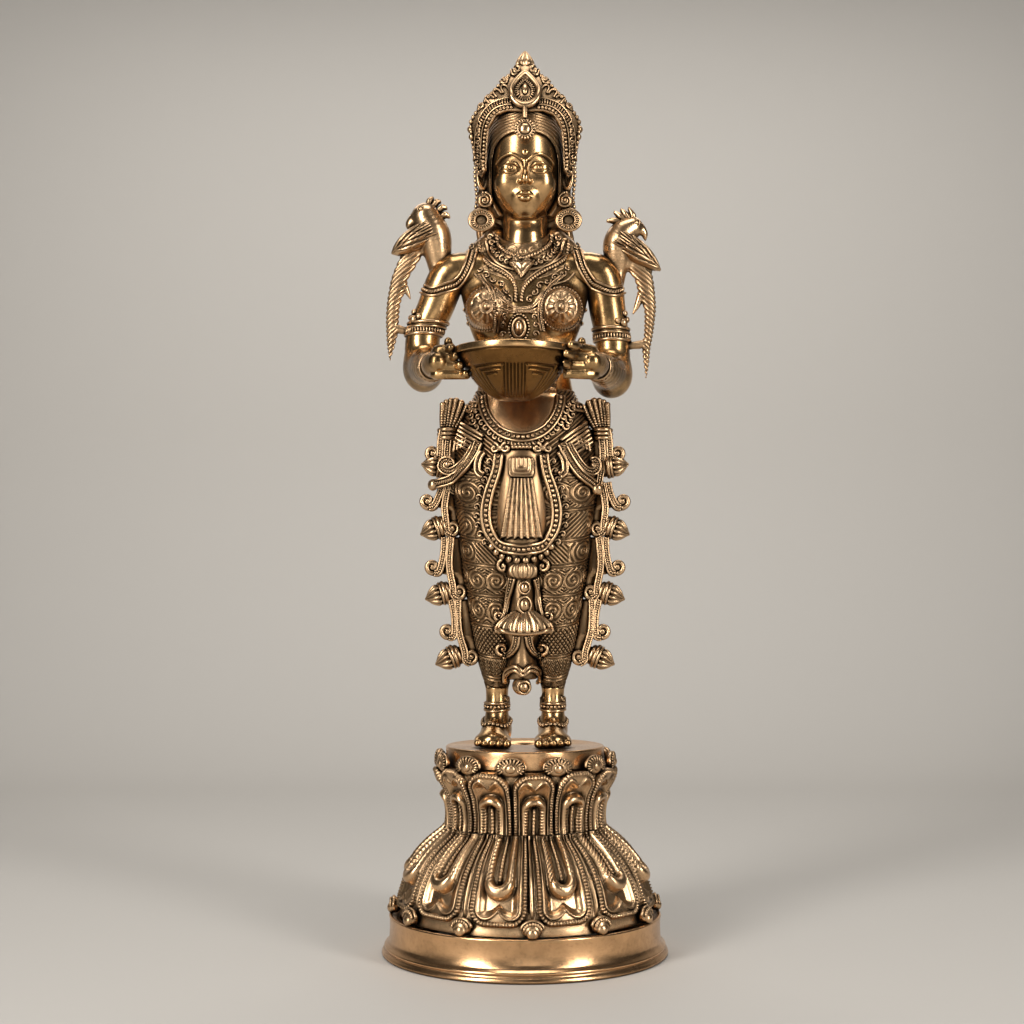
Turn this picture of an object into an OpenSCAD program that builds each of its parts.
// Cast brass oil lamp: a standing lamp bearer on a double lotus pedestal.
// The figure faces -Y, its left hand is on +X, and +Z is up.
// The origin is the centre of the foot, on the surface that the lamp stands on.

/* [Pedestal] */
// Radius of the rolled flange at the foot
flange_r = 97; // [95:0.5:110]
// Height of the flange
flange_h = 10; // [4:0.5:12]
// Radius of the plain plinth band
plinth_r = 92; // [88:0.5:94]
// Height of the plinth ring, flange included
plinth_h = 27; // [20:1:34]
// Radius of the lower lotus at its foot
lotus_r = 85; // [78:0.5:87]
// Height of the lower lotus
lower_lotus_h = 59; // [50:1:80]
// Radius of the waist between the two lotuses
pedestal_waist_r = 52; // [48:0.5:60]
// Height of the upper lotus
upper_lotus_h = 41; // [34:1:54]
// Radius of the upper lotus at its rim
cup_r = 55; // [54:0.5:62]
// Radius of the standing deck
deck_r = 54; // [50:0.5:54]
// Thickness of the standing deck
deck_h = 13; // [9:0.5:20]
// Number of petals round each lotus
petals = 12; // [8:1:14]
// How far the rim of a petal stands out from its shell
petal_relief = 3; // [2:0.25:4]
// Width of the rim round a lower petal
petal_rim_w = 4; // [3:0.25:5]
// Half width of the tongue on a lower petal
tongue_w = 10; // [8:0.5:12]
// How far the tips of the upper petals lean out beyond the rest
petal_lean = 4; // [1:0.5:7]
// Wall of the hollow castings
wall = 4; // [3:0.25:6]

/* [Fastenings] */
// Radius of the spigot under the deck
spigot_r = 9; // [7:0.5:12]
// Wall of the bush that guides the spigot
bush_wall = 4; // [3:0.5:6]
// Length of the bush
bush_h = 16; // [10:1:24]
// Running clearance of spigot and bush, on the radius
running_clearance = 0.05; // [0.02:0.01:0.1]
// Thickness of the lock washer
washer_h = 2; // [1:0.5:4]
// Height of the lock nut
lock_nut_h = 8; // [6:0.5:12]
// Thread that shows past a tightened nut
thread_end = 3; // [1:0.5:6]
// Radius of a foot stud
stud_r = 3; // [2:0.25:4]
// Depth that a stud reaches into the foot
stud_grip = 12; // [8:1:16]
// Height of a foot nut
foot_nut_h = 5; // [3:0.5:8]
// Clearance of a stud, tenon or nut in its hole, on the radius
fit_clearance = 0.05; // [0.02:0.01:0.1]
// Gap between castings that follow each other's curved faces
seat = 0.15; // [0.1:0.05:0.3]
// Gap between the lamp bowl and the hands that hold it
bowl_gap = 0.35; // [0.3:0.05:0.8]

/* [Legs and hips] */
// Height from the soles to the joint at the waist
leg_h = 240; // [225:1:260]
// Distance of a leg from the middle
leg_x = 19; // [18:0.5:22]
// Radius of an ankle
ankle_r = 9.5; // [8:0.25:12]
// Radius of the garment's hem
hem_r = 16.5; // [14:0.25:18]
// Radius of a knee
knee_r = 19.5; // [18:0.25:22]
// Radius of a thigh
thigh_r = 23; // [20:0.25:26]
// Half width of the hips
hip_w = 48; // [44:0.5:54]
// Half depth of the hips
hip_d = 26; // [23:0.5:30]
// Length of a foot in front of the ankle
toe_reach = 29; // [24:0.5:34]
// Height of the anklet
anklet_h = 5; // [3:0.5:8]
// Thickness of the anklet, girdle, armlets and bangles
band_t = 2.4; // [1.6:0.1:3.5]
// Drop from the waist joint to the girdle
girdle_drop = 3; // [2:0.5:6]
// Height of the girdle
girdle_h = 24; // [16:1:28]
// Thickness of the front hanging
front_sash_t = 8; // [6:0.5:11]
// Thickness of the side hangings
side_sash_t = 13; // [8:0.5:18]

/* [Torso] */
// Height from the waist joint to the neck joint
torso_h = 97; // [92:1:106]
// Half width at the waist joint
waist_w = 33; // [30:0.5:36]
// Half width of the chest
chest_w = 43; // [40:0.5:46]
// Half depth of the chest
chest_d = 22; // [20:0.5:25]
// Radius of a breast
bust_r = 15; // [12:0.5:17]
// Distance of a breast from the middle
bust_x = 23; // [20:0.5:25]
// Drop from the neck joint to the arm joints
shoulder_drop = 16; // [13:0.5:20]
// Distance of the arm joints from the middle
shoulder_x = 42; // [40:0.5:46]
// Thickness of the necklace
necklace_t = 2.6; // [1.6:0.1:4]
// Radius of the tenon under the torso
waist_tenon_r = 10; // [7:0.5:13]
// Length of every tenon
tenon_h = 10; // [6:0.5:13]

/* [Head] */
// Height from the neck joint to the top of the skull
head_h = 110; // [104:1:118]
// Radius of the neck
neck_r = 14.5; // [12:0.25:17]
// Half width of the head at the cheeks
face_w = 22.5; // [20:0.25:25]
// Half depth of the head
head_d = 25; // [22:0.25:28]
// Radius of the knot of hair behind the head
bun_r = 17; // [13:0.5:21]
// Height of the crown's tip above the skull
crown_rise = 20; // [16:1:30]
// Half width of the crown
crown_w = 38; // [34:0.5:44]
// Thickness of the crown from front to back
crown_t = 8; // [6:0.5:12]
// Radius of the upper ear disc
ear_disc_r = 6; // [4:0.25:6.5]
// Outer radius of the lower ear ring
ear_ring_r = 7.5; // [6:0.25:8]
// Thickness of the ear ornaments
earring_t = 4; // [3:0.25:6]
// Radius of the tenon under the neck
neck_tenon_r = 6; // [4:0.5:9]

/* [Arms and bowl] */
// Distance of the left elbow from the middle
left_elbow_x = 59; // [57:0.5:66]
// Height of the left elbow above the waist joint
left_elbow_h = 12; // [8:0.5:20]
// Distance of the right elbow from the middle
right_elbow_x = 69; // [62:0.5:72]
// Height of the right elbow above the waist joint
right_elbow_h = 16; // [8:0.5:20]
// Radius of an arm at the shoulder
shoulder_r = 13; // [11:0.25:14]
// Radius of the upper arm
arm_r = 12.5; // [11:0.25:13.5]
// Radius of an elbow
elbow_r = 13.5; // [11:0.25:14.5]
// Radius of a wrist
wrist_r = 9; // [7:0.25:10]
// Drop from the bowl's rim to the middle of the hands
hand_drop = 9; // [7:0.5:11]
// Radius of a finger
finger_r = 2.9; // [2.2:0.1:3.1]
// Radius of the tenon at each shoulder
shoulder_tenon_r = 5; // [3:0.5:7]
// Height of an armlet
armlet_h = 10; // [6:0.5:14]
// Length of a bangle along the wrist
bangle_h = 5; // [3:0.5:8]
// Radius of the lamp bowl at its rim
bowl_r = 39.5; // [35:0.5:40]
// Height of the lamp bowl
bowl_h = 33; // [28:0.5:38]
// Radius of the lamp bowl's foot
bowl_foot_r = 8.5; // [8:0.5:16]
// Wall of the lamp bowl
bowl_wall = 2.5; // [2:0.25:4]
// Height of the plain band at the bowl's rim
bowl_band_h = 4; // [2:0.5:6]
// How far the rim band flares out, so that the bowl lifts clear of the fingers
bowl_flare = 1.6; // [1.4:0.1:2.2]
// Distance of the bowl in front of the middle
bowl_reach = 57.5; // [57:0.5:66]
// Distance of the bowl from the middle, towards the left hand
bowl_shift = -6.5; // [-8:0.5:0]
// Height of the bowl's rim above the waist joint
bowl_rise = 20; // [16:0.5:24]

/* [Parrots] */
// Length of a parrot from the perch to the top of the head
parrot_h = 34; // [28:0.5:38]
// Radius of a parrot's body
parrot_r = 9.5; // [8:0.25:11]
// Length of a parrot's tail below the perch
tail_h = 74; // [60:1:84]
// Width of a parrot's tail
tail_w = 11; // [8:0.5:13]
// Height of the left perch above the left arm joint
left_perch_h = 5; // [2:0.5:8]
// Height of the right perch above the right arm joint
right_perch_h = 13; // [8:0.5:14]

/* [Hidden] */

left = 1;
right = -1;
polished = "#c9a45c";
aged = "#8a6b35";
steel = "#8c8f94";

// Levels from the foot up
lower_lotus_z = plinth_h;
upper_lotus_z = lower_lotus_z + lower_lotus_h;
deck_z = upper_lotus_z + upper_lotus_h;
sole_z = deck_z + deck_h;
waist_z = sole_z + leg_h;
neck_z = waist_z + torso_h;
skull_z = neck_z + head_h;
tip_z = skull_z + crown_rise;
shoulder_z = neck_z - shoulder_drop;
rim_z = waist_z + bowl_rise;
bowl_z = rim_z - bowl_h;
girdle_top_z = waist_z - girdle_drop;
girdle_bottom_z = girdle_top_z - girdle_h;

// Fastenings
bush_z = upper_lotus_z - bush_h;
bush_r = spigot_r + running_clearance + bush_wall;
bush_flange_r = bush_r + 4;
bush_flange_h = 3;
washer_r = bush_flange_r;
lock_nut_r = spigot_r * 1.7;
spigot_end_z = bush_z - washer_h - lock_nut_h - thread_end;
foot_nut_r = stud_r * 1.9;
stud_end_z = deck_z - foot_nut_h - 2;

// Smoothness of the cast forms
form_steps = 2;
form_sides = 24;
limb_sides = 14;
ball_sides = 16;
toe_sides = 10;
big = 400;

// Ring of points about a centre, spanned by two half axes
function ring(c, u, v, n) = [for (i = [0:n - 1]) c + u * cos(360 * i / n) + v * sin(360 * i / n)];

// Smooth curve through the rows of a list
function at(list, i) = list[min(max(i, 0), len(list) - 1)];
function reverse(list) = [for (i = [1:len(list)]) list[len(list) - i]];
function curve(a, b, c, d, t) =
  (2 * b + (c - a) * t + (2 * a - 5 * b + 4 * c - d) * t * t + (3 * b - a - 3 * c + d) * t * t * t) / 2;
function smooth(list, steps) = [
  for (i = [0:len(list) - 2], k = [0:steps - 1])
    curve(at(list, i - 1), list[i], list[i + 1], at(list, i + 2), k / steps),
  list[len(list) - 1]
];

// Level sections are rows of height, half width, half depth, x and y of the centre
function level_rings(sections, grow) = [
  for (s = sections) ring([s[3], s[4], s[0]], [s[1] + grow, 0, 0], [0, s[2] + grow, 0], form_sides)
];

// Limb stations are rows of x, y, z and radius
function place(s) = [s[0], s[1], s[2]];
function unit(v) = v / norm(v);
function heading(list, i) = unit(place(at(list, i + 1)) - place(at(list, i - 1)));
function limb_ring(s, t, side, grow) =
  let (u = unit(cross(side, t)))
  ring(place(s), u * (s[3] + grow), cross(t, u) * (s[3] + grow), limb_sides);
function limb_rings(stations, side, grow) = [
  for (i = [0:len(stations) - 1]) limb_ring(stations[i], heading(stations, i), side, grow)
];

// Closed skin over a row of rings
module loft(rings) {
  n = len(rings[0]);
  m = len(rings);
  skin = [
    for (j = [0:m - 2], i = [0:n - 1])
      let (a = j * n + i, b = j * n + (i + 1) % n)
        each [[a, a + n, b + n], [a, b + n, b]]
  ];
  first = [for (i = [0:n - 1]) i];
  last = [for (i = [0:n - 1]) m * n - 1 - i];
  polyhedron([for (r = rings) each r], concat(skin, [first, last]), convexity = 8);
}

module body_form(sections, grow) loft(level_rings(smooth(sections, form_steps), grow));
module limb(stations, side, grow) loft(limb_rings(smooth(stations, form_steps), side, grow));
module ball(p, r, n = ball_sides) translate(p) sphere(r, $fn = n);

// One cast solid from all that it is made of
module cast() resize([0, 0, 0]) union() children();

module above(z) translate([-big, -big, z]) cube([2 * big, 2 * big, big]);
module between(z0, z1) translate([-big, -big, z0]) cube([2 * big, 2 * big, z1 - z0]);

// Flat outline in x and z, made into a thick plate that runs from front to back
module front_plate(y0, y1) translate([0, y1, 0]) rotate([90, 0, 0]) linear_extrude(y1 - y0) children();

// Side view outline in y and z, made into a wide block
module side_block() translate([-big / 2, 0, 0]) rotate([90, 0, 90]) linear_extrude(big) children();

// Mirrored about the middle for the right side
module on_side(side) mirror([side < 0 ? 1 : 0, 0, 0]) children();

// Pedestal
dome_drop = lotus_r - pedestal_waist_r;
// Shares of the dome's drop in radius and of its height, from the foot up
dome_shape = [[1, 0], [0.96, 0.2], [0.82, 0.44], [0.63, 0.64], [0.34, 0.8], [0.08, 0.91], [0, 1]];
function dome(grow) = [
  for (p = smooth(dome_shape, form_steps))
    [pedestal_waist_r + grow + dome_drop * p[0], lower_lotus_z + (lower_lotus_h + min(grow, 0)) * p[1]]
];
cup_belly_h = upper_lotus_h * 0.55;
function cup(grow, lean) = [
  [pedestal_waist_r + grow, upper_lotus_z],
  [pedestal_waist_r + grow - 1, upper_lotus_z + cup_belly_h / 2],
  [(pedestal_waist_r + cup_r) / 2 + grow, upper_lotus_z + cup_belly_h],
  [cup_r + grow + lean, deck_z - 4],
  [cup_r + grow, deck_z]
];
petal_pitch = 360 / petals;
petal_fill = 0.85;
function petal_half(r) = r * sin(petal_pitch / 2) * petal_fill;
lower_petal_turn = 18;
upper_petal_turn = 6;
lower_tip_gap = 6;
petal_corner_r = 10;
corner_steps = 4;
cusp_h = 5;
plate_relief = petal_relief * 0.4;
tongue_relief = petal_relief + 1;
tongue_gap = lower_tip_gap + 15;
tongue_rim_w = tongue_w * 0.4;
tongue_rib_w = tongue_w * 0.12;
tongue_taper = 0.7;
upper_tip_gap = 1;
petal_root_gap = 2;

foot_bore_r = min(plinth_r, flange_r) - wall;
lip_r = lotus_r - wall;
lip_h = 3;

module plinth_ring() {
  color(polished)
  rotate_extrude()
  polygon([
    [foot_bore_r, 0], [flange_r - 1, 0], [flange_r, 1], [flange_r, flange_h - 1],
    [flange_r - 1, flange_h], [plinth_r, flange_h + 1], [plinth_r, plinth_h - 1],
    [plinth_r - 1, plinth_h], [lip_r, plinth_h], [lip_r, plinth_h - lip_h],
    [plinth_r - wall, plinth_h - 2 * lip_h]
  ]);
}

function corner(c, r, from) = [
  for (i = [0:corner_steps]) let (a = from + 90 * i / corner_steps) c + r * [cos(a), sin(a)]
];

// Outline of one lower petal, drawn in by an inset, with a cusp up from the middle of its foot
function lower_petal_points(inset, cusp) =
  let (
    foot_z = lower_lotus_z + lower_tip_gap + inset,
    root_z = upper_lotus_z - petal_root_gap,
    half = petal_half(lotus_r + petal_relief) - inset,
    narrow = petal_half(pedestal_waist_r) - inset,
    r = petal_corner_r - inset
  )
  concat(
    [[-narrow, root_z]], corner([r - half, foot_z + r], r, 180), [[0, foot_z + cusp]],
    corner([half - r, foot_z + r], r, 270), [[narrow, root_z]]);

// Outline of the tongue on a lower petal, drawn in by an inset
function tongue_points(inset) =
  let (
    foot_z = lower_lotus_z + tongue_gap + inset,
    root_z = upper_lotus_z - petal_root_gap,
    half = tongue_w - inset,
    narrow = tongue_w * tongue_taper - inset
  )
  concat(
    [[-narrow, root_z]],
    [for (i = [0:8]) [-half * cos(180 * i / 8), foot_z + half * (1 - sin(180 * i / 8))]],
    [[narrow, root_z]]);

module lower_petal_rim() difference() {
  polygon(lower_petal_points(0, 0));
  polygon(lower_petal_points(petal_rim_w, cusp_h));
}

module tongue_rim() difference() {
  polygon(tongue_points(0));
  polygon(tongue_points(tongue_rim_w));
}

module tongue_rib() translate([-tongue_rib_w, lower_lotus_z + tongue_gap + tongue_rim_w / 2])
  square([2 * tongue_rib_w, lower_lotus_h - tongue_gap - tongue_rim_w / 2 - petal_root_gap]);

// Outline of one upper petal, its tip under the deck
module upper_petal_outline() {
  tip_z = deck_z - upper_tip_gap;
  wide = petal_half(cup_r + petal_relief);
  narrow = petal_half(pedestal_waist_r);
  belly_z = tip_z - wide;
  polygon([
    [narrow, upper_lotus_z + petal_root_gap],
    for (i = [0:8]) [wide * cos(180 * i / 8), belly_z + (tip_z - belly_z) * sin(180 * i / 8)],
    [-narrow, upper_lotus_z + petal_root_gap]
  ]);
}

// Sector of a raised skin, cut to the outline of a petal that faces +X
module petal(outer, inner) {
  intersection() {
    rotate([0, 0, -petal_pitch / 2])
    rotate_extrude(angle = petal_pitch)
    polygon(concat(outer, reverse(inner)));
    translate([wall, 0, 0]) rotate([90, 0, 90]) linear_extrude(2 * lotus_r) children();
  }
}

module lower_lotus() {
  skin = dome(0);
  hollow = dome(-wall);
  color(aged)
  difference() {
    union() {
      rotate_extrude() polygon(concat([[0, lower_lotus_z]], skin, [[0, upper_lotus_z]]));
      for (i = [0:petals - 1])
        rotate([0, 0, lower_petal_turn - 90 + petal_pitch * i]) {
          petal(dome(plate_relief), dome(-wall / 2)) polygon(lower_petal_points(0, 0));
          petal(dome(petal_relief), dome(-wall / 2)) lower_petal_rim();
          petal(dome(tongue_relief), dome(-wall / 2)) tongue_rim();
          petal(dome(petal_relief), dome(-wall / 2)) tongue_rib();
        }
    }
    rotate_extrude() polygon(concat([[0, lower_lotus_z - 1], [hollow[0][0], lower_lotus_z - 1]], hollow,
      [[0, upper_lotus_z - wall]]));
    translate([0, 0, bush_z]) cylinder(r = bush_r + fit_clearance, h = bush_h + 1);
    above(upper_lotus_z);
  }
}

module upper_lotus() {
  skin = cup(0, 0);
  hollow = cup(-wall, 0);
  color(aged)
  difference() {
    union() {
      rotate_extrude() polygon(concat([[0, upper_lotus_z]], skin, [[0, deck_z]]));
      for (i = [0:petals - 1])
        rotate([0, 0, upper_petal_turn - 90 + petal_pitch * i])
        petal(cup(petal_relief, petal_lean), cup(-wall / 2, 0)) upper_petal_outline();
    }
    rotate_extrude() polygon(concat([[0, upper_lotus_z + wall]], [[hollow[0][0], upper_lotus_z + wall]],
      [for (i = [1:len(hollow) - 1]) hollow[i]], [[hollow[4][0], deck_z + 1], [0, deck_z + 1]]));
    translate([0, 0, upper_lotus_z - 1]) cylinder(r = bush_flange_r + fit_clearance, h = wall + 2);
  }
}

module pedestal_bush() {
  color(polished)
  difference() {
    union() {
      translate([0, 0, bush_z]) cylinder(r = bush_r, h = bush_h);
      translate([0, 0, upper_lotus_z]) cylinder(r = bush_flange_r, h = bush_flange_h);
    }
    translate([0, 0, bush_z - 1]) cylinder(r = spigot_r + running_clearance, h = bush_h + bush_flange_h + 2);
  }
}

module standing_deck() {
  color(polished)
  difference() {
    union() {
      rotate_extrude() polygon([
        [0, deck_z], [deck_r - 1, deck_z], [deck_r, deck_z + 1], [deck_r, sole_z - 1.5],
        [deck_r - 1.5, sole_z], [0, sole_z]
      ]);
      translate([0, 0, spigot_end_z]) cylinder(r = spigot_r, h = deck_z - spigot_end_z + 1);
    }
    for (side = [left, right]) translate([side * leg_x, 0, deck_z - 1])
      cylinder(r = stud_r + fit_clearance, h = deck_h + 2);
  }
}

module lock_washer() {
  color(steel)
  translate([0, 0, bush_z - washer_h])
  difference() {
    cylinder(r = washer_r, h = washer_h);
    translate([0, 0, -1]) cylinder(r = spigot_r + fit_clearance, h = washer_h + 2);
  }
}

module hex_nut(r, bore, h) {
  difference() {
    cylinder(r = r, h = h, $fn = 6);
    translate([0, 0, -1]) cylinder(r = bore, h = h + 2);
  }
}

module lock_nut() {
  color(steel)
  translate([0, 0, bush_z - washer_h - lock_nut_h]) hex_nut(lock_nut_r, spigot_r + fit_clearance, lock_nut_h);
}

module foot_studs() {
  color(steel)
  for (side = [left, right]) translate([side * leg_x, 0, stud_end_z])
    cylinder(r = stud_r, h = sole_z + stud_grip - stud_end_z);
}

module foot_nuts() {
  color(steel)
  for (side = [left, right]) translate([side * leg_x, 0, deck_z - foot_nut_h])
    hex_nut(foot_nut_r, stud_r + fit_clearance, foot_nut_h);
}

// Legs and hips
function leg_sections(side) = [
  [sole_z + leg_h * 0.017, ankle_r - 1, ankle_r + 1, side * leg_x, 1],
  [sole_z + leg_h * 0.083, ankle_r - 0.5, ankle_r, side * leg_x, 0],
  [sole_z + leg_h * 0.15, ankle_r, ankle_r, side * leg_x, 0],
  [sole_z + leg_h * 0.19, hem_r - 3, hem_r - 3, side * leg_x, 0],
  [sole_z + leg_h * 0.24, hem_r, hem_r, side * leg_x, 0],
  [sole_z + leg_h * 0.41, knee_r, knee_r, side * (leg_x + 0.5), 0],
  [sole_z + leg_h * 0.58, thigh_r - 1, thigh_r, side * (leg_x + 1), 0],
  [sole_z + leg_h * 0.74, thigh_r + 2, thigh_r + 1, side * (leg_x + 2), 0],
  [sole_z + leg_h * 0.82, thigh_r - 2, thigh_r - 2, side * (leg_x + 1), 0]
];
hip_sections = [
  [waist_z - leg_h * 0.415, hip_w - 14, hip_d - 7, 0, 0],
  [waist_z - leg_h * 0.31, hip_w - 4, hip_d - 2, 0, 0],
  [waist_z - leg_h * 0.215, hip_w, hip_d, 0, 0],
  [waist_z - leg_h * 0.125, hip_w - 2, hip_d - 1, 0, 0],
  [waist_z - leg_h * 0.055, hip_w - 8, hip_d - 4, 0, 0],
  [waist_z, waist_w, hip_d - 7, 0, 0]
];

module foot_form(side, grow) {
  sole = 5.5;
  intersection() {
    union() {
      hull() {
        ball([side * leg_x, 8, sole_z + 6], 8 + grow);
        ball([side * leg_x, 0, sole_z + 12], 8.5 + grow);
        ball([side * (leg_x - 4), 8 - toe_reach, sole_z + sole], sole + grow);
        ball([side * (leg_x + 6), 11 - toe_reach, sole_z + sole - 1], sole - 1 + grow);
      }
      for (i = [0:4])
        ball([side * (leg_x - 7.5 + 4.2 * i), 3 - toe_reach + 1.1 * i, sole_z + 3], 3.4 - 0.25 * i + grow,
          toe_sides);
    }
    above(sole_z);
  }
}

module lower_body_form(grow) {
  for (side = [left, right]) {
    body_form(leg_sections(side), grow);
    foot_form(side, grow);
  }
  body_form(hip_sections, grow);
}

module lower_body() {
  color(aged)
  difference() {
    cast() lower_body_form(0);
    translate([0, 0, waist_z - tenon_h - fit_clearance])
      cylinder(r = waist_tenon_r + fit_clearance, h = tenon_h + 1);
    for (side = [left, right]) translate([side * leg_x, 0, sole_z - 1])
      cylinder(r = stud_r + fit_clearance, h = stud_grip + 1 + fit_clearance);
  }
}

// Girdle, and the same grown a little for what lies over it
module girdle_form(grow) {
  intersection() {
    body_form(hip_sections, band_t + grow);
    between(girdle_bottom_z - grow, girdle_top_z + grow);
  }
}

module girdle() {
  color(polished)
  cast() difference() {
    girdle_form(0);
    lower_body_form(seat);
  }
}

// Front hanging: rows of height and half width, from the girdle down to the end medallion
sash_top_z = girdle_bottom_z - seat;
sash_end_z = sole_z + 34;
sash_h = sash_top_z - sash_end_z;
front_sash_outline = [
  [0, 30], [0.11, 30], [0.2, 24], [0.36, 23], [0.46, 12], [0.55, 14], [0.74, 20], [0.77, 12],
  [0.86, 19], [0.92, 9], [1, 5]
];
front_profile = [
  [hip_d + 3, sash_top_z], [hip_d + 4, sash_top_z - sash_h * 0.2], [thigh_r + 6, sash_top_z - sash_h * 0.5],
  [knee_r + 5, sash_top_z - sash_h * 0.74], [hem_r + 2, sash_end_z]
];

// Front face of the hanging at a height given as a share of its drop
function sash_z(share) = sash_top_z - sash_h * share;
function sash_front(share) = -lookup(sash_z(share), [for (p = front_profile) [p[1], p[0]]]);
relief_sink = 0.4;
function on_sash(x, share) = [x, sash_front(share) + relief_sink, sash_z(share)];

// Rows of x and share of the drop: one side of the beaded loop, a strand under it and a strap below
loop_side = [[14.2, 0.03], [17.3, 0.11], [21.9, 0.19], [23.1, 0.29], [20.2, 0.37], [11.3, 0.43]];
loop_rows = concat(loop_side, [[0, 0.446]], [for (p = reverse(loop_side)) [-p[0], p[1]]]);
strand_rows = [[6.3, 0.535], [8.2, 0.61], [12, 0.69], [15.2, 0.725]];
strap_rows = [[3.4, 0.76], [5.2, 0.82], [8.1, 0.862], [12.6, 0.884]];
loop_r = 3;
strand_r = 2.4;
pleats = 5;
pleat_r = 2;
pleat_top_w = 5;
pleat_foot_w = 11;
pleat_share = [0.15, 0.4];
bell_w = 9;
bell_d = 5;
bell_share = 0.53;
skirt_w = 16;
skirt_neck_w = 7;
skirt_d = 8;
skirt_share = [0.68, 0.763];
skirt_h = sash_h * (skirt_share[1] - skirt_share[0]);
medal_r = 5;
medal_share = 0.96;
clasp_size = [15, 5, 13];
clasp_share = 0.1;

module sash_cord(rows, side, r) {
  stations = [for (p = rows) concat(on_sash(side * p[0], p[1]), [r])];
  loft(limb_rings(stations, [0, 1, 0], 0));
}

module sash_relief() {
  sash_cord(loop_rows, 1, loop_r);
  for (side = [left, right]) {
    sash_cord(strand_rows, side, strand_r);
    sash_cord(strap_rows, side, strand_r);
  }
  for (i = [0:pleats - 1]) {
    k = 2 * i / (pleats - 1) - 1;
    sash_cord([[k * pleat_top_w, pleat_share[0]], [k * pleat_foot_w, pleat_share[1]]], 1, pleat_r);
  }
  translate(on_sash(0, bell_share)) scale([bell_w, bell_d, bell_d]) sphere(1, $fn = ball_sides);
  translate(on_sash(0, skirt_share[1])) scale([1, skirt_d / skirt_w, 1])
    cylinder(r1 = skirt_w, r2 = skirt_neck_w, h = skirt_h, $fn = form_sides);
  ball(on_sash(0, medal_share), medal_r);
  translate(on_sash(0, clasp_share) - clasp_size / 2) cube(clasp_size);
}

module front_sash() {
  color(aged)
  cast() difference() {
    union() {
      intersection() {
        front_plate(-big, 0) polygon(concat(
          [for (p = front_sash_outline) [p[1], sash_z(p[0])]],
          [for (p = reverse(front_sash_outline)) [-p[1], sash_z(p[0])]]));
        side_block() polygon(concat(
          [for (p = front_profile) [-p[0], p[1]]],
          [for (p = reverse(front_profile)) [front_sash_t - p[0], p[1]]]));
      }
      sash_relief();
    }
    lower_body_form(seat);
  }
}

// Side hangings: a tapering strip with outward buds, each under a curl
// Rows of a bud's drop as a share of the legs, its reach past the strip's inner edge and its curl's height
buds = [[0.19, 23, 6], [0.37, 24, 22], [0.565, 25, 22], [0.745, 21, 22]];
bud_r = 7;
curl_r = 5;
sash_strip_w = 14;
sash_foot_h = 50;
sash_drop = 8;

module side_sash_outline() {
  inner_top = hip_w - 8;
  inner_foot = leg_x + hem_r - 4;
  foot_z = sole_z + sash_foot_h;
  polygon([
    [inner_top, waist_z - sash_drop], [inner_top + sash_strip_w + 3, waist_z - sash_drop],
    [inner_top + sash_strip_w, waist_z - 60], [inner_foot + sash_strip_w, foot_z], [inner_foot, foot_z]
  ]);
  for (b = buds) {
    drop = leg_h * b[0];
    z = waist_z - drop;
    lean = inner_top + (inner_foot - inner_top) * drop / (waist_z - foot_z);
    hull() {
      translate([lean + 8, z + bud_r]) circle(curl_r, $fn = 20);
      translate([lean + b[1], z - 2]) circle(bud_r, $fn = 20);
      translate([lean + b[1] - 3, z - bud_r - 4]) circle(1.5, $fn = 12);
    }
    hull() {
      translate([lean + 8, z + b[2] - curl_r]) circle(curl_r, $fn = 20);
      translate([lean + b[1], z + b[2]]) circle(curl_r, $fn = 20);
    }
  }
}

module side_sash(side) {
  color(aged)
  cast() difference() {
    on_side(side) front_plate(-side_sash_t * 0.6, side_sash_t * 0.4) side_sash_outline();
    lower_body_form(seat);
    girdle_form(seat);
  }
}

module left_sash() side_sash(left);
module right_sash() side_sash(right);

anklet_z = sole_z + 24;

module anklet(side) {
  color(polished)
  cast() intersection() {
    difference() {
      body_form(leg_sections(side), band_t);
      body_form(leg_sections(side), seat);
      foot_form(side, seat);
    }
    between(anklet_z, anklet_z + anklet_h);
  }
}

module left_anklet() anklet(left);
module right_anklet() anklet(right);

// Torso
belly_d = 17;
torso_sections = [
  [waist_z, waist_w, hip_d - 7, 0, 0],
  [waist_z + torso_h * 0.12, waist_w - 3, belly_d, 0, 0],
  [waist_z + torso_h * 0.25, waist_w - 3, belly_d, 0, 0],
  [waist_z + torso_h * 0.46, chest_w - 4, chest_d, 0, 0],
  [waist_z + torso_h * 0.66, chest_w, chest_d, 0, 1],
  [waist_z + torso_h * 0.82, shoulder_x + 6, chest_d - 5, 0, 2],
  [waist_z + torso_h * 0.93, shoulder_x - 12, chest_d - 7, 0, 2],
  [neck_z, neck_r, neck_r, 0, 2]
];
bust_z = waist_z + torso_h * 0.56;

module torso_form(grow) {
  intersection() {
    union() {
      body_form(torso_sections, grow);
      for (side = [left, right]) ball([side * bust_x, -chest_d + 4, bust_z], bust_r + grow);
    }
    translate([-shoulder_x, -big, 0]) cube([2 * shoulder_x, 2 * big, tip_z]);
  }
}

module torso() {
  color(polished)
  difference() {
    union() {
      cast() torso_form(0);
      translate([0, 0, waist_z - tenon_h]) cylinder(r = waist_tenon_r, h = 2 * tenon_h);
    }
    translate([0, 2, neck_z - tenon_h - fit_clearance])
      cylinder(r = neck_tenon_r + fit_clearance, h = tenon_h + 1);
    for (side = [left, right]) translate([side * (shoulder_x + 1), 2, shoulder_z]) rotate([0, -side * 90, 0])
      cylinder(r = shoulder_tenon_r + fit_clearance, h = tenon_h + 1 + fit_clearance);
  }
}

// Collar outline over the chest, open at the neck
collar_front_y = -1;

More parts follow.
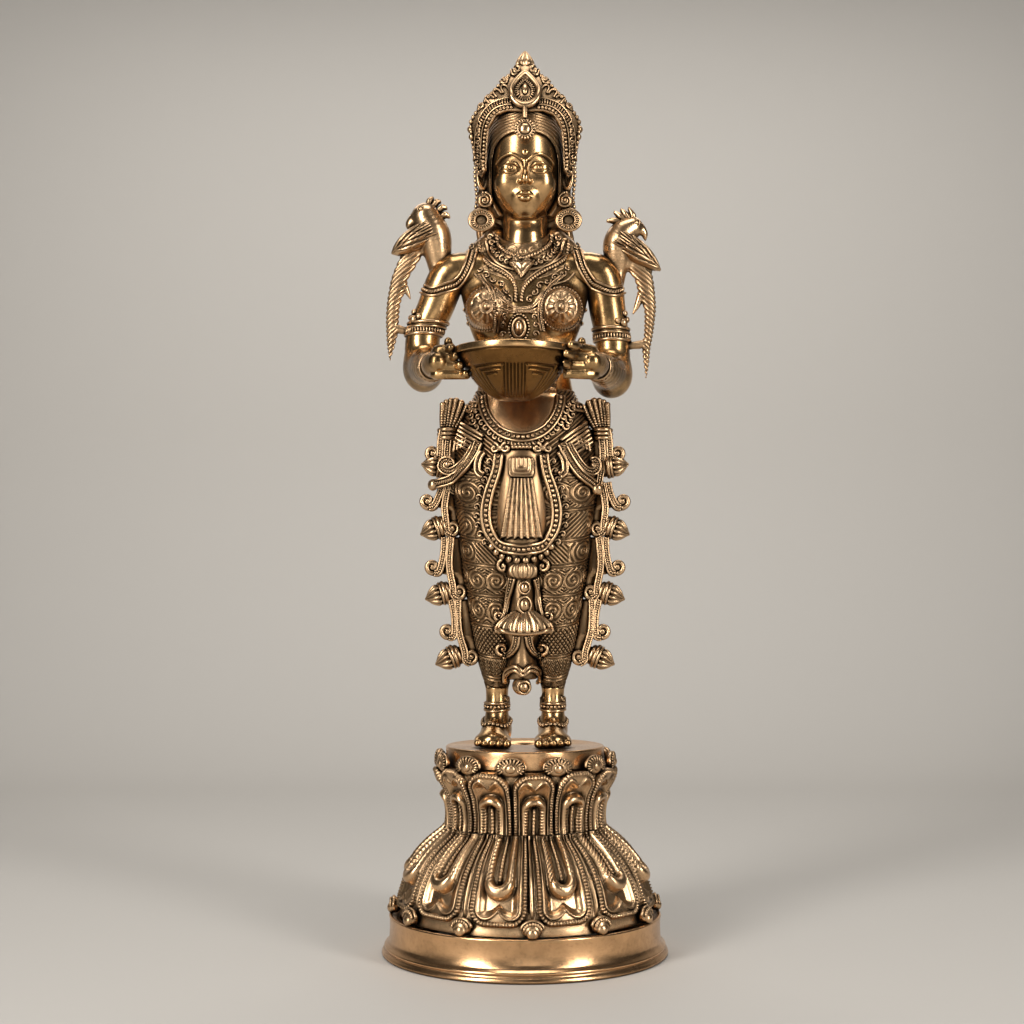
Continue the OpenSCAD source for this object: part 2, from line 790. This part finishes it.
module collar_outline() {
  side_x = shoulder_x - 5;
  low_z = waist_z + torso_h * 0.3;
  polygon([
    [side_x, neck_z], [side_x, neck_z - 14], [bust_x - 6, bust_z + 8], [6, low_z + 14], [0, low_z],
    [-6, low_z + 14], [6 - bust_x, bust_z + 8], [-side_x, neck_z - 14], [-side_x, neck_z]
  ]);
}

module necklace() {
  color(aged)
  cast() difference() {
    intersection() {
      torso_form(necklace_t);
      front_plate(-big, collar_front_y) collar_outline();
      between(0, neck_z - seat);
    }
    torso_form(seat);
  }
}

// Head
head_sections = [
  [neck_z, neck_r, neck_r, 0, 2],
  [neck_z + head_h * 0.1, neck_r - 1, neck_r - 1, 0, 1],
  [neck_z + head_h * 0.17, neck_r - 1, head_d - 9, 0, -4],
  [neck_z + head_h * 0.24, face_w - 5, head_d - 4, 0, -3],
  [neck_z + head_h * 0.34, face_w - 1, head_d - 1, 0, -2],
  [neck_z + head_h * 0.48, face_w, head_d, 0, -1],
  [neck_z + head_h * 0.64, face_w + 1, head_d, 0, 1],
  [neck_z + head_h * 0.82, face_w, head_d - 2, 0, 3],
  [neck_z + head_h * 0.94, face_w - 8, head_d - 9, 0, 4],
  [skull_z, 4, 4, 0, 4]
];
lock_front_y = 0;
lock_r = 6.5;
ear_x = face_w + 4;
ear_z = neck_z + head_h * 0.3;
lock_stations = [
  [face_w - 2, lock_front_y + lock_r, neck_z + head_h * 0.72, lock_r],
  [ear_x - 1, lock_front_y + lock_r, neck_z + head_h * 0.5, lock_r],
  [ear_x + 1, lock_front_y + lock_r, ear_z, lock_r],
  [ear_x + 3, lock_front_y + lock_r, neck_z + 8, lock_r],
  [ear_x + 5, lock_front_y + lock_r, neck_z - 12, lock_r]
];

// Hair that falls behind the neck, between the locks
nape_sections = [
  [neck_z - 10, ear_x, 8, 0, 14],
  [neck_z + head_h * 0.2, ear_x, 9, 0, 13],
  [neck_z + head_h * 0.4, face_w, 13, 0, 11]
];

module head_form(grow) {
  body_form(head_sections, grow);
  ball([0, head_d - 3, neck_z + head_h * 0.6], bun_r + grow);
  body_form(nape_sections, grow);
  for (side = [left, right]) on_side(side) limb(lock_stations, [0, 1, 0], grow);
}

module head() {
  color(polished)
  union() {
    cast() difference() {
      head_form(0);
      torso_form(seat);
    }
    translate([0, 2, neck_z - tenon_h]) cylinder(r = neck_tenon_r, h = 2 * tenon_h);
  }
}

// Crown: a pointed arch that leans on the hair
hairline_z = neck_z + head_h * 0.74;
crown_foot_z = neck_z + head_h * 0.46;
crown_outer = [
  [0, tip_z], [4, tip_z - 8], [10, tip_z - 14], [crown_w * 0.47, skull_z - 4], [crown_w * 0.68, skull_z - 14],
  [crown_w, skull_z - 28], [crown_w - 1, skull_z - 38], [crown_w - 6, crown_foot_z]
];
crown_inner = [
  [face_w + 1, crown_foot_z], [face_w + 1, hairline_z - 14], [face_w - 6, hairline_z - 3], [8, hairline_z + 4],
  [0, hairline_z - 2]
];
crown_front = [
  [head_d - 10, crown_foot_z], [head_d - 7, hairline_z - 10], [head_d + 1, hairline_z - 2],
  [head_d - 1, hairline_z + 10], [head_d - 8, skull_z], [head_d - 15, tip_z]
];

module crown_outline() {
  half = concat(crown_outer, crown_inner);
  polygon(half);
  mirror([1, 0]) polygon(half);
}

module crown() {
  color(aged)
  cast() difference() {
    intersection() {
      front_plate(-big, 0) crown_outline();
      side_block() polygon(concat(
        [for (p = crown_front) [-p[0], p[1]]],
        [for (i = [len(crown_front) - 1:-1:0])
          [crown_t + max(0, crown_front[i][1] - hairline_z) * 0.2 - crown_front[i][0], crown_front[i][1]]]));
    }
    head_form(seat);
  }
}

// Ear ornament: a disc over a ring, laid against the side lock
module earring(side) {
  ring_z = ear_z - ear_disc_r - ear_ring_r + 0.5;
  color(polished)
  on_side(side) difference() {
    front_plate(lock_front_y - seat - earring_t, lock_front_y - seat) {
      translate([ear_x + 1, ear_z]) circle(ear_disc_r);
      translate([ear_x + 3, ring_z]) circle(ear_ring_r);
    }
    front_plate(lock_front_y - earring_t - 1, lock_front_y - seat - earring_t / 2)
      translate([ear_x + 3, ring_z]) circle(ear_ring_r - 2.5);
  }
}

module left_earring() earring(left);
module right_earring() earring(right);

// Lamp bowl
bowl_belly_h = bowl_h - bowl_band_h;
bowl_belly_r = bowl_r - bowl_flare;
bowl_fullness = 0.58;
function bowl_outside(z) = z < bowl_belly_h
  ? bowl_foot_r + (bowl_belly_r - bowl_foot_r) * pow(z / bowl_belly_h, bowl_fullness)
  : bowl_r - bowl_flare * (bowl_h - z) / bowl_band_h;
bowl_steps = 8;
function bowl_side(grow) = [
  for (i = [0:bowl_steps])
    let (z = bowl_belly_h * i / bowl_steps)
      [bowl_outside(z) + grow, z]
];

module at_bowl() translate([bowl_shift, -bowl_reach, bowl_z]) children();

module oil_bowl() {
  inside = bowl_side(-bowl_wall);
  color(polished)
  at_bowl() rotate_extrude() polygon(concat(
    [[0, 0]], bowl_side(0), [[bowl_r, bowl_h], [bowl_r - bowl_wall, bowl_h]],
    [for (i = [bowl_steps:-1:1]) [inside[i][0], inside[i][1] + bowl_wall]],
    [[0, inside[1][1] + bowl_wall]]));
}

module bowl_space(grow) {
  at_bowl() rotate_extrude($fn = 48) polygon(concat(
    [[0, -grow]], bowl_side(grow), [[bowl_r + grow, bowl_h], [bowl_r + grow, 2 * bowl_h], [0, 2 * bowl_h]]));
}

// Arms, drawn for the left side and mirrored
function elbow_x(side) = side > 0 ? left_elbow_x : right_elbow_x;
function elbow_z(side) = waist_z + (side > 0 ? left_elbow_h : right_elbow_h);
function grip_x(side) = side * bowl_shift + bowl_r;
hand_z = rim_z - hand_drop;
wrist_y = 18 - bowl_reach;
function upper_arm(side) = [
  [shoulder_x - 8, 2, shoulder_z + 1, shoulder_r],
  [shoulder_x + 10, 2, shoulder_z - 3, shoulder_r],
  [(shoulder_x + 12 + elbow_x(side)) / 2, 3, (shoulder_z + elbow_z(side)) / 2 + 8, arm_r],
  [elbow_x(side) + 0.5, 4, elbow_z(side) + 22, arm_r - 0.5],
  [elbow_x(side), 2, elbow_z(side), elbow_r],
  [elbow_x(side), 2, elbow_z(side) - elbow_r * 0.7, elbow_r * 0.6]
];
function forearm(side) = [
  [elbow_x(side), 8, elbow_z(side), elbow_r * 0.5],
  [elbow_x(side), 2, elbow_z(side), elbow_r * 0.95],
  [(elbow_x(side) + grip_x(side) + 12) / 2, wrist_y / 2, (elbow_z(side) + hand_z) / 2, (elbow_r + wrist_r) / 2],
  [grip_x(side) + 12, wrist_y, hand_z, wrist_r],
  [grip_x(side) + 7, wrist_y - 16, hand_z, wrist_r - 0.5],
  [grip_x(side) + 3, wrist_y - 24, hand_z, wrist_r * 0.6]
];
finger_pitch = 5.4;
finger_turns = [6, 26, 42];
fingertip_share = 0.7;
function finger(side, i) =
  let (z = hand_z + 8 - finger_pitch * i, reach = bowl_outside(z - bowl_z) + finger_r + bowl_gap)
  concat([[grip_x(side) + 6, wrist_y - 12, hand_z + (z - hand_z) * 0.6, finger_r]],
    [for (a = finger_turns) [
      side * bowl_shift + reach * cos(a), -bowl_reach - reach * sin(a), z,
      finger_r * (a == finger_turns[2] ? fingertip_share : 1)
    ]]);

module arm_form(side, grow) {
  on_side(side) intersection() {
    union() {
      limb(upper_arm(side), [0, 1, 0], grow);
      limb(forearm(side), [0, 0, 1], grow);
      for (i = [0:3]) limb(finger(side, i), [0, 0, 1], grow);
    }
    translate([shoulder_x, -big, 0]) cube([big, 2 * big, tip_z]);
  }
}

// The hand reaches inside the shoulder's plane, so it is trimmed by the bowl alone
module hand_form(side) {
  on_side(side) {
    limb(forearm(side), [0, 0, 1], 0);
    for (i = [0:3]) limb(finger(side, i), [0, 0, 1], 0);
  }
}

module arm(side) {
  color(polished)
  union() {
    cast() difference() {
      union() {
        arm_form(side, 0);
        hand_form(side);
      }
      bowl_space(bowl_gap);
    }
    translate([side * (shoulder_x - tenon_h), 2, shoulder_z]) rotate([0, side * 90, 0])
      cylinder(r = shoulder_tenon_r, h = 2 * tenon_h);
  }
}

module left_arm() arm(left);
module right_arm() arm(right);

function armlet_z(side) = elbow_z(side) + 22;

module armlet_form(side, grow) {
  intersection() {
    on_side(side) limb(upper_arm(side), [0, 1, 0], band_t + grow);
    between(armlet_z(side) - grow, armlet_z(side) + armlet_h + grow);
  }
}

module armlet(side) {
  color(polished)
  cast() difference() {
    armlet_form(side, 0);
    arm_form(side, seat);
  }
}

module left_armlet() armlet(left);
module right_armlet() armlet(right);

module bangle(side) {
  color(polished)
  cast() intersection() {
    difference() {
      on_side(side) limb(forearm(side), [0, 0, 1], band_t);
      on_side(side) limb(forearm(side), [0, 0, 1], seat);
      bowl_space(bowl_gap);
    }
    translate([-big, wrist_y - bangle_h / 2, 0]) cube([2 * big, bangle_h, tip_z]);
  }
}

module left_bangle() bangle(left);
module right_bangle() bangle(right);

// Parrots, drawn for the left side and mirrored
perch_out = 18;
perch_x = shoulder_x + perch_out;
perch_y = 2;
tail_out = 24;
function perch_z(side) = shoulder_z + (side > 0 ? left_perch_h : right_perch_h);

module parrot_form(side) {
  x = perch_x;
  y = perch_y;
  z = perch_z(side);
  top = z + parrot_h;
  head_at = [x + parrot_h * 0.29, 0, top - parrot_h * 0.235];
  tail_x = elbow_x(side) + tail_out;
  stay_z = armlet_z(side) + armlet_h / 2;
  body = [
    [x + parrot_h * 0.09, y, z - parrot_h * 0.18, parrot_r * 0.5],
    [x + parrot_h * 0.12, y, z + parrot_h * 0.12, parrot_r * 0.8],
    [x + parrot_h * 0.15, y, z + parrot_h * 0.35, parrot_r],
    [x + parrot_h * 0.2, y / 2, z + parrot_h * 0.59, parrot_r * 0.85],
    [x + parrot_h * 0.26, 0, top - parrot_h * 0.12, parrot_r * 0.6]
  ];
  tail = [
    [x + parrot_h * 0.24, y, z + parrot_h * 0.12, tail_w * 0.5],
    [x + parrot_h * 0.53, y, z - parrot_h * 0.18, tail_w * 0.6],
    [tail_x, y, z - tail_h * 0.35, tail_w * 0.5],
    [tail_x, y, z - tail_h * 0.6, tail_w * 0.42],
    [tail_x - tail_w * 0.18, y, z - tail_h * 0.82, tail_w * 0.33],
    [tail_x - tail_w * 0.45, y, z - tail_h, tail_w * 0.11]
  ];
  limb(body, [0, 1, 0], 0);
  limb(tail, [0, 1, 0], 0);
  ball(head_at, parrot_r * 0.8);
  // Beak, bent down to the wing
  hull() {
    ball(head_at + [0.53, 0, -0.1] * parrot_r, parrot_r * 0.42);
    ball(head_at + [1, 0, -0.74] * parrot_r, parrot_r * 0.15);
  }
  // Crest
  hull() {
    ball(head_at + [-0.95, 0, 0.1] * parrot_r, parrot_r * 0.17);
    ball(head_at + [-0.32, 0, 0.74] * parrot_r, parrot_r * 0.21);
    ball(head_at + [0.32, 0, 0.84] * parrot_r, parrot_r * 0.17);
    ball(head_at, parrot_r * 0.42);
  }
  // Folded wing
  hull() {
    ball([x + parrot_h * 0.18, y / 2, z + parrot_h * 0.44], parrot_r * 0.95);
    ball([x + parrot_h * 0.59, y / 2, z + parrot_h * 0.15], parrot_r * 0.65);
    ball([x + parrot_h * 0.97, y, z], parrot_r * 0.16);
  }
  // Stay from the tail to the armlet
  hull() {
    ball([tail_x - tail_w * 0.1, y, stay_z], tail_w * 0.27);
    ball([elbow_x(side) + arm_r, y, stay_z], tail_w * 0.23);
  }
}

module parrot(side) {
  color(aged)
  cast() difference() {
    on_side(side) parrot_form(side);
    arm_form(side, seat);
    armlet_form(side, seat);
  }
}

module left_parrot() parrot(left);
module right_parrot() parrot(right);

plinth_ring();
lower_lotus();
upper_lotus();
pedestal_bush();
standing_deck();
lock_washer();
lock_nut();
foot_studs();
foot_nuts();
lower_body();
front_sash();
left_sash();
right_sash();
girdle();
left_anklet();
right_anklet();
torso();
necklace();
head();
crown();
left_earring();
right_earring();
left_arm();
right_arm();
left_armlet();
right_armlet();
left_bangle();
right_bangle();
left_parrot();
right_parrot();
oil_bowl();
